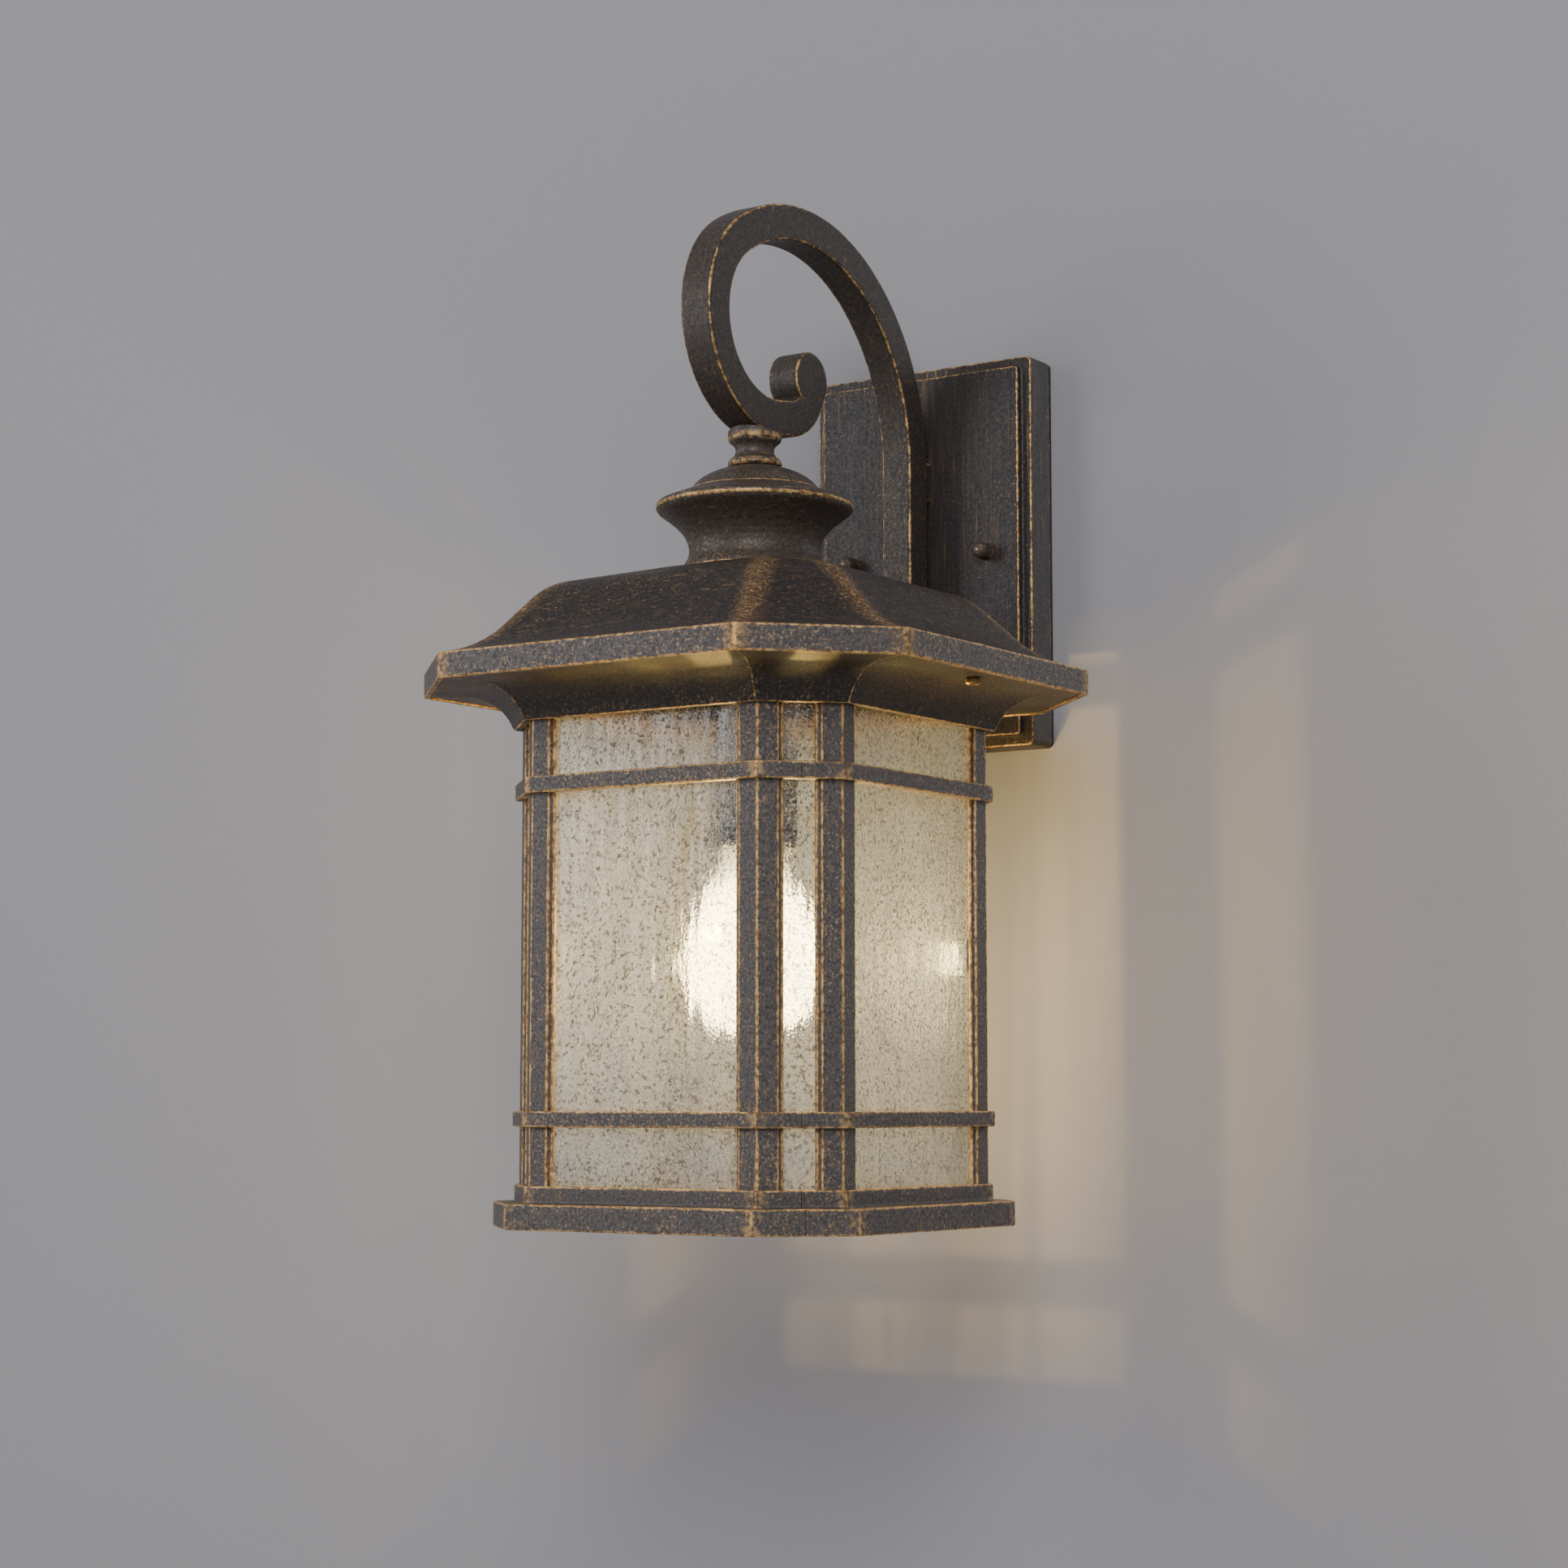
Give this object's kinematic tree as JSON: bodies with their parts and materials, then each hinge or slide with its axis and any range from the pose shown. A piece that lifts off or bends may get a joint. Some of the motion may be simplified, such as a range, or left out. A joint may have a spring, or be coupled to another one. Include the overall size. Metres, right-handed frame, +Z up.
{
  "type": "outdoor wall lantern",
  "caption": "Eight-sided glazed lantern under a flared roof, hung from a scroll arm on a rectangular wall plate, with a screw-in lamp inside.",
  "frame": {"origin": "middle of the wall bracket's back face, on the wall plane", "axes": "+Z up, -Y out of the wall towards the lantern, +X to the right for someone facing the wall"},
  "size_m": [0.256, 0.295, 0.4651],
  "materials": {
    "bronze_paint": "dark bronze-black paint with rubbed gold edges",
    "seeded_glass": "clear seeded glass with small bubbles",
    "lamp_glass": "frosted warm lamp glass",
    "zinc_steel": "zinc plated steel",
    "brass": "plain brass",
    "black_plastic": "black phenolic",
    "white_plastic": "white nylon",
    "gasket_foam": "closed cell foam",
    "lead_sleeve": "silicone lead sleeve"
  },
  "bodies": {
    "fixture": {"wall_bracket": "zinc_steel", "backplate": "bronze_paint", "backplate_gasket": "gasket_foam", "terminal_block": "white_plastic", "earth_screw": "brass", "scroll_arm": "bronze_paint", "inner_lead": "lead_sleeve", "arm_screw_upper": "zinc_steel", "arm_screw_lower": "zinc_steel", "neck_finial": "bronze_paint", "top_cap": "bronze_paint", "threaded_nipple": "zinc_steel", "roof_shell": "bronze_paint", "roof_washer": "zinc_steel", "roof_nut": "zinc_steel", "stem_cover": "bronze_paint", "lampholder_cap": "black_plastic", "lampholder_body": "black_plastic", "lampholder_ring": "black_plastic", "bracket_stud_left": "zinc_steel", "bracket_stud_right": "zinc_steel"},
    "cage": {"soffit_tray": "bronze_paint", "base_pan": "bronze_paint", "side_frame_front": "bronze_paint", "wide_pane_front": "seeded_glass", "narrow_pane_front": "seeded_glass", "glass_clip_front_a": "zinc_steel", "glass_clip_front_b": "zinc_steel", "tray_screw_front": "zinc_steel", "base_screw_front": "bronze_paint", "side_frame_right": "bronze_paint", "wide_pane_right": "seeded_glass", "narrow_pane_right": "seeded_glass", "glass_clip_right_a": "zinc_steel", "glass_clip_right_b": "zinc_steel", "tray_screw_right": "zinc_steel", "base_screw_right": "bronze_paint", "side_frame_back": "bronze_paint", "wide_pane_back": "seeded_glass", "narrow_pane_back": "seeded_glass", "glass_clip_back_a": "zinc_steel", "glass_clip_back_b": "zinc_steel", "tray_screw_back": "zinc_steel", "base_screw_back": "bronze_paint", "side_frame_left": "bronze_paint", "wide_pane_left": "seeded_glass", "narrow_pane_left": "seeded_glass", "glass_clip_left_a": "zinc_steel", "glass_clip_left_b": "zinc_steel", "tray_screw_left": "zinc_steel", "base_screw_left": "bronze_paint"},
    "lamp": {"bulb_cap": "zinc_steel", "bulb_contact": "black_plastic", "bulb_glass": "lamp_glass", "bulb_core": "white_plastic"},
    "nut_left": {"cap_nut_left": "bronze_paint"},
    "nut_right": {"cap_nut_right": "bronze_paint"},
    "thumb_left": {"eave_screw_left": "brass"},
    "thumb_right": {"eave_screw_right": "brass"}
  },
  "joints": [
    {"name": "cage_drop", "type": "slide", "parent": "fixture", "child": "cage", "axis": [0, 0, -1], "range_m": [0, 0.17]},
    {"name": "lamp_screw", "type": "hinge", "parent": "fixture", "child": "lamp", "pos_m": [0, -0.167, -0.15], "axis": [0, 0, -1], "range_deg": [0, 1080]},
    {"name": "cap_nut_left_turn", "type": "hinge", "parent": "fixture", "child": "nut_left", "pos_m": [-0.038, -0.03, 0], "axis": [0, -1, 0], "range_deg": [0, 2520]},
    {"name": "cap_nut_right_turn", "type": "hinge", "parent": "fixture", "child": "nut_right", "pos_m": [0.038, -0.03, 0], "axis": [0, -1, 0], "range_deg": [0, 2520]},
    {"name": "eave_screw_left_turn", "type": "hinge", "parent": "cage", "child": "thumb_left", "pos_m": [-0.113, -0.167, -0.08], "axis": [0, 0, -1], "range_deg": [0, 5400]},
    {"name": "eave_screw_right_turn", "type": "hinge", "parent": "cage", "child": "thumb_right", "pos_m": [0.113, -0.167, -0.08], "axis": [0, 0, -1], "range_deg": [0, 5400]}
  ]
}
